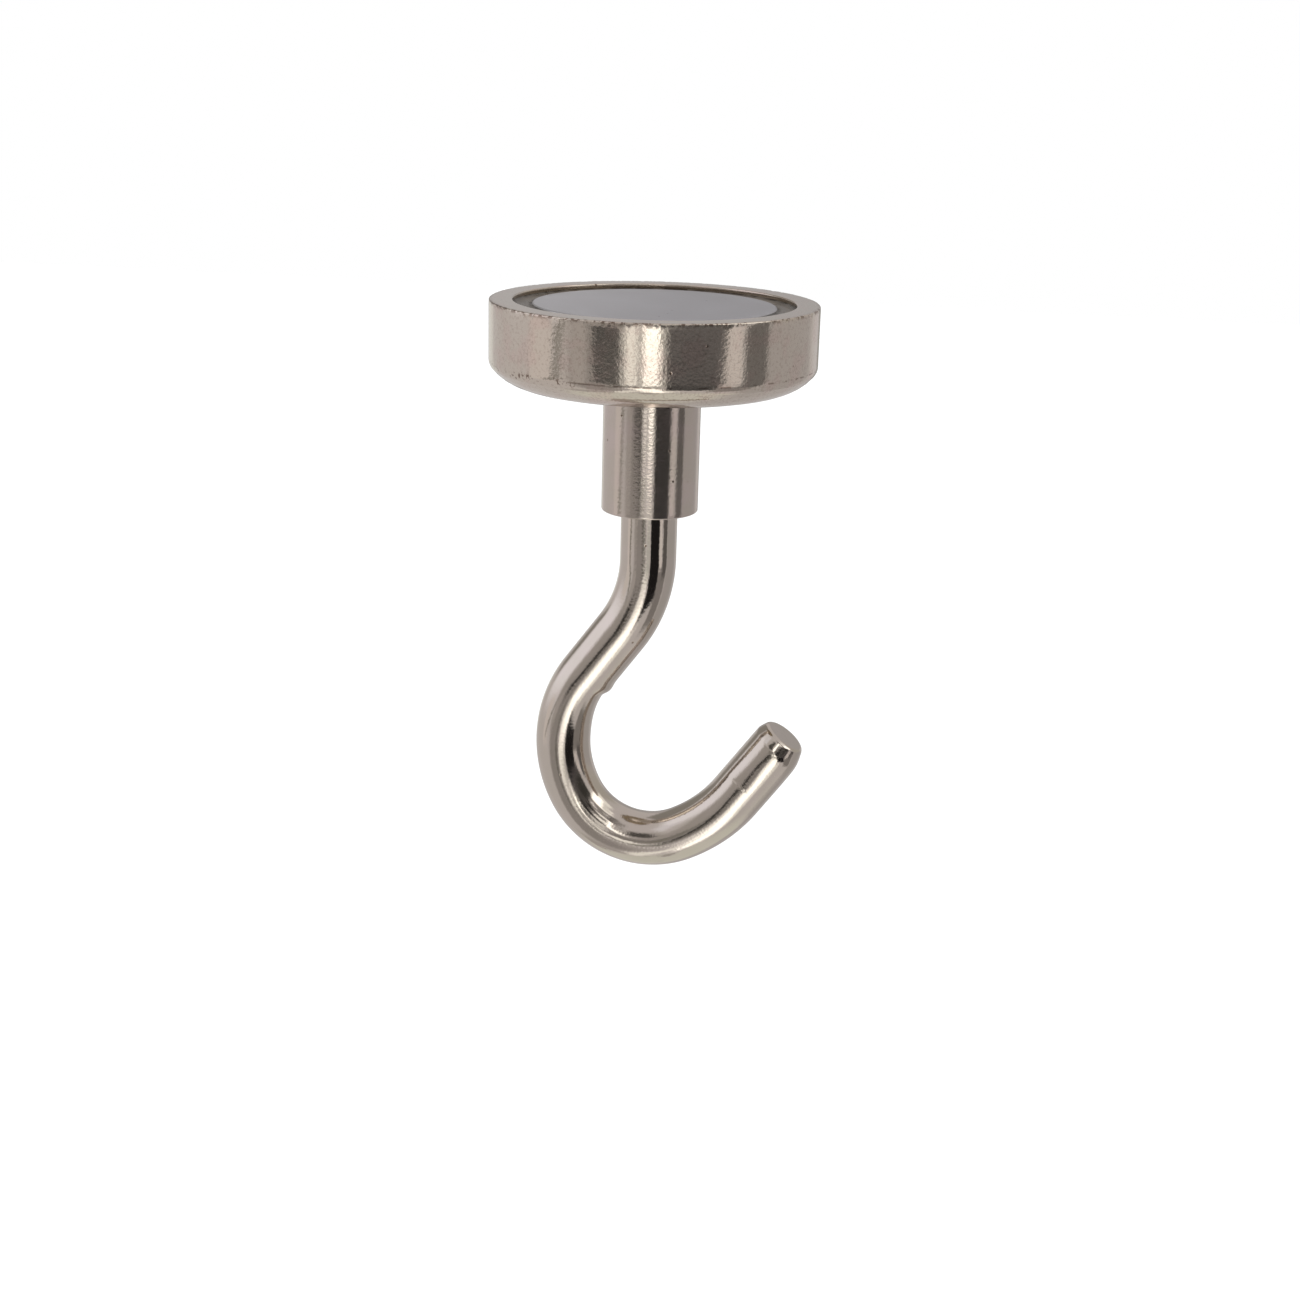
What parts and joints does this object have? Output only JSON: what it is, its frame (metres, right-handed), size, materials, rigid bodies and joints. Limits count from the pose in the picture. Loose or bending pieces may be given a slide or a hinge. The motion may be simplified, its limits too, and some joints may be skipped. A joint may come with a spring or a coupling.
{
  "type": "magnetic hook",
  "caption": "Round pot magnet in a nickel-plated steel cup, with a threaded stem and a bent wire hook that screws in, for hanging things from a steel surface.",
  "frame": {"origin": "centre of the face that grips the steel, in the plane of the cup's rim", "axes": "+Z out of the gripping face along the stem's axis, so the hook hangs towards -Z; the hook lies in the XZ plane and its mouth opens to +X"},
  "size_m": [0.0254, 0.025, 0.0458],
  "materials": {
    "cup_nickel": "bright nickel plate over a pressed steel pot, finely brushed round, worn at the rim",
    "magnet_face": "smooth nickel plate on a sintered magnet, satin",
    "resin": "cast epoxy resin, grey, slightly sunk",
    "stem_nickel": "bright nickel plate on a turned steel bush",
    "wire_nickel": "bright nickel plate on drawn steel wire, with bending marks"
  },
  "bodies": {
    "base": {"cup": "cup_nickel", "magnet": "magnet_face", "resin_fill": "resin", "stem": "stem_nickel"},
    "screw": {"hook_thread": "wire_nickel"},
    "hook": {"hook": "wire_nickel"}
  },
  "joints": [
    {"name": "hook_advance", "type": "slide", "parent": "base", "child": "screw", "axis": [0, 0, -1], "range_m": [0, 0.0056]},
    {"name": "hook_turn", "type": "hinge", "parent": "screw", "child": "hook", "pos_m": [0, 0, 0], "axis": [0, 0, -1], "range_deg": [0, 2520]}
  ],
  "couplings": [
    {"joint": "hook_advance", "follows": "hook_turn", "m_per_rad": 0.00012732}
  ]
}
